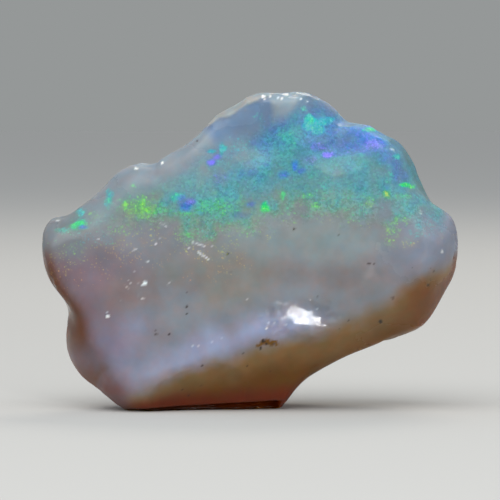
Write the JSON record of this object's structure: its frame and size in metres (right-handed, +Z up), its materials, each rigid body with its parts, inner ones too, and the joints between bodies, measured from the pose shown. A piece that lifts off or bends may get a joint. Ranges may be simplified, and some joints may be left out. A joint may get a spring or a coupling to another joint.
{
  "type": "rough opal stone",
  "caption": "Rough uncut opal: one translucent wedge-shaped stone with play of colour, standing on a small broken facet.",
  "frame": {"origin": "on the ground, under the middle of the stone's box", "axes": "+X to the right of the broad face, +Y from the broad face into the stone, +Z up"},
  "size_m": [0.032, 0.0104, 0.0243],
  "materials": {
    "opal": "glossy natural fracture, milky and translucent, blue and green play of colour above, warm tan below"
  },
  "bodies": {
    "root": {"opal_stone": "opal"}
  },
  "joints": []
}
